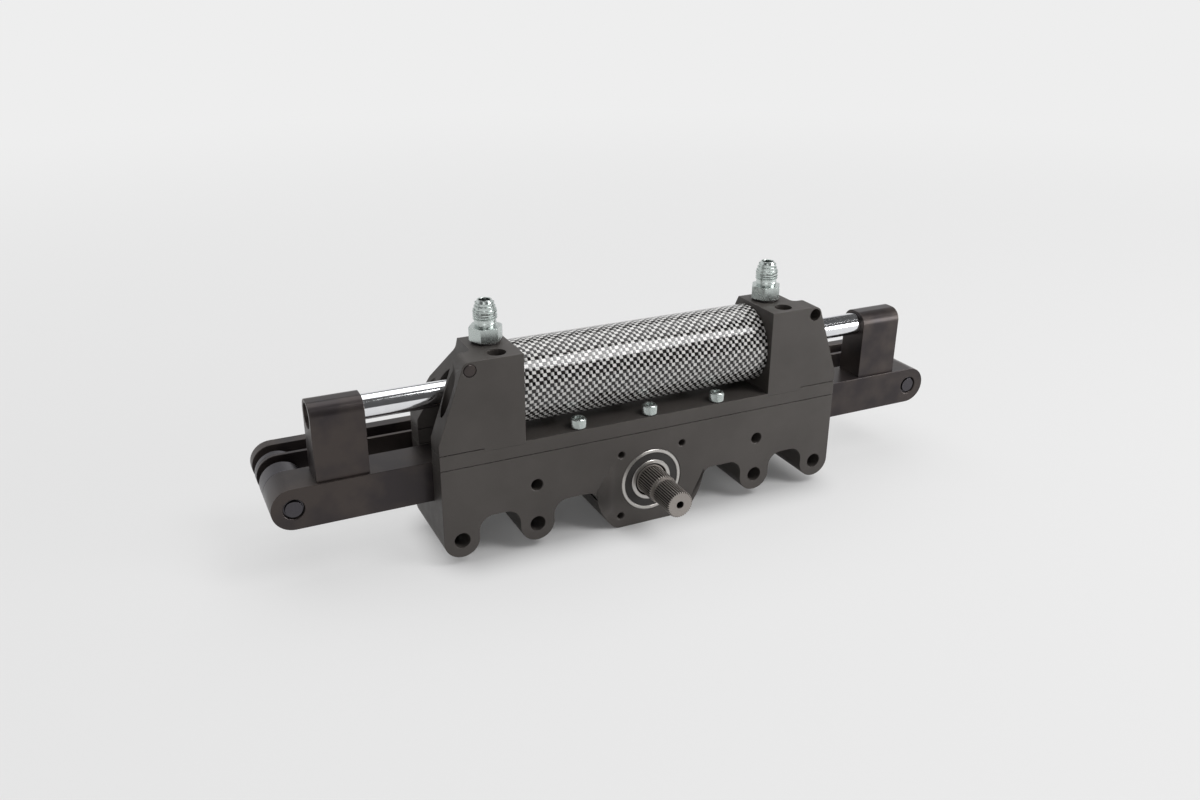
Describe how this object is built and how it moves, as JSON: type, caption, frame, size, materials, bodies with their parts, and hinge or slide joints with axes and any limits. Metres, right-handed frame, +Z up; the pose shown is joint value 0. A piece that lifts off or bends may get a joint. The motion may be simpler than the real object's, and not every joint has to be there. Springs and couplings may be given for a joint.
{
  "type": "power steering rack",
  "caption": "Power steering rack: splined pinion, straight rack bar with rear straps and tie rod pins, and a double rod hydraulic cylinder on end blocks.",
  "frame": {"origin": "pinion axis at the front face of the housing, centre of the four small holes", "axes": "+X along the rack to the right, +Y from the front face back, +Z up towards the cylinder"},
  "size_m": [0.4604, 0.1308, 0.1539],
  "materials": {
    "hard_anodised_aluminium": "dark brown hard anodised, satin",
    "carbon_weave_sleeve": "silver and black weave under clear gloss",
    "plain_aluminium": "turned",
    "hard_chrome": "ground and polished",
    "zinc_plate": "pale grey green zinc plate",
    "black_oxide_steel": "black oxide with a brown and violet cast",
    "pin_steel": "ground steel, lightly blued",
    "bearing_steel": "ground bright",
    "splined_shaft_steel": "hobbed, grey brown",
    "bronze": "machined",
    "black_rubber": "satin black",
    "wear_ring_phenolic": "brown phenolic"
  },
  "bodies": {
    "housing": {"rack_housing": "hard_anodised_aluminium", "cover_plate": "hard_anodised_aluminium", "left_end_block": "hard_anodised_aluminium", "right_end_block": "hard_anodised_aluminium", "cylinder_tube": "plain_aluminium", "tube_sleeve": "carbon_weave_sleeve", "tube_o_rings": "black_rubber", "left_port_fitting": "zinc_plate", "right_port_fitting": "zinc_plate", "fitting_o_rings": "black_rubber", "block_plug": "black_oxide_steel", "rod_bushings": "bronze", "rod_seals": "black_rubber", "rod_wipers": "black_rubber", "front_bearing_outer_ring": "bearing_steel", "front_bearing_balls": "bearing_steel", "front_bearing_seals": "black_rubber", "rear_bearing_outer_ring": "bearing_steel", "rear_bearing_balls": "bearing_steel", "rack_bushings": "bronze", "cover_screws": "zinc_plate", "block_bolts": "black_oxide_steel"},
    "rack": {"rack_bar": "black_oxide_steel", "inner_strap": "black_oxide_steel", "rear_strap": "black_oxide_steel", "front_spacers": "pin_steel", "rear_spacers": "pin_steel", "clevis_pins": "pin_steel", "clevis_nuts": "pin_steel", "left_rod_bracket": "black_oxide_steel", "right_rod_bracket": "black_oxide_steel", "bracket_bolts": "black_oxide_steel", "piston_rod": "hard_chrome", "piston": "plain_aluminium", "piston_seal": "black_rubber", "piston_wear_rings": "wear_ring_phenolic"},
    "pinion": {"pinion_shaft": "splined_shaft_steel", "front_bearing_inner_ring": "bearing_steel", "rear_bearing_inner_ring": "bearing_steel"}
  },
  "joints": [
    {"name": "rack_travel", "type": "slide", "parent": "housing", "child": "rack", "axis": [1, 0, 0], "range_m": [-0.06, 0.06]},
    {"name": "pinion_spin", "type": "hinge", "parent": "housing", "child": "pinion", "pos_m": [0, 0, 0], "axis": [0, 1, 0], "range_deg": [-340, 340]}
  ],
  "couplings": [
    {"joint": "pinion_spin", "follows": "rack_travel", "rad_per_m": 98.039}
  ]
}
